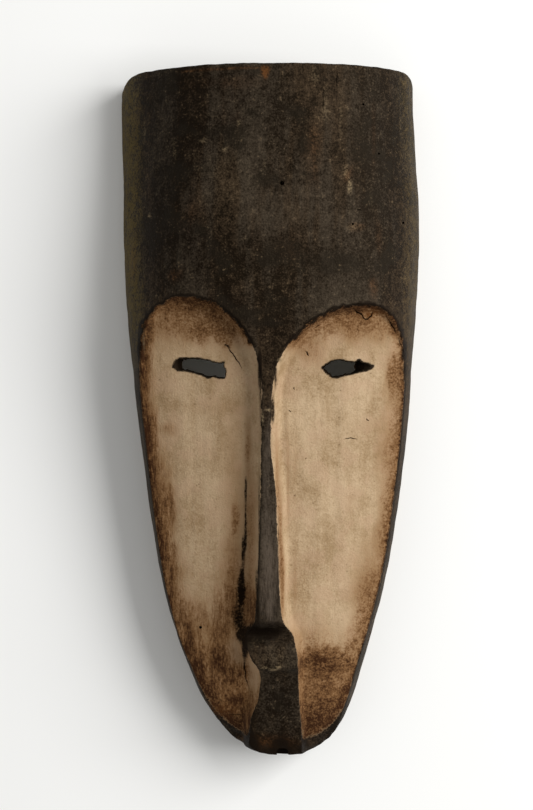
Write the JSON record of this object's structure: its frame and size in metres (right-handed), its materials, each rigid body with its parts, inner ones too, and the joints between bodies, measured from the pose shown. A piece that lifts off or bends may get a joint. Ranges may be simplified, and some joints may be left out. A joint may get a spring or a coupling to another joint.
{
  "type": "carved face mask",
  "caption": "Long carved wooden face mask, hollow behind, with a tall rounded forehead, sunken pale cheeks, slit eyes, a thin straight nose and a narrow chin.",
  "frame": {"origin": "middle of the footprint, on the plane of the flat back rim the mask lies on", "axes": "+X to the viewer's right, +Y from the chin up to the top of the forehead, +Z out of the face"},
  "size_m": [0.112, 0.25, 0.05],
  "materials": {
    "carved_wood": "matt hand-carved wood: soot-dark forehead, nose and chin, worn white clay on the cheeks"
  },
  "bodies": {
    "root": {"mask": "carved_wood"}
  },
  "joints": []
}
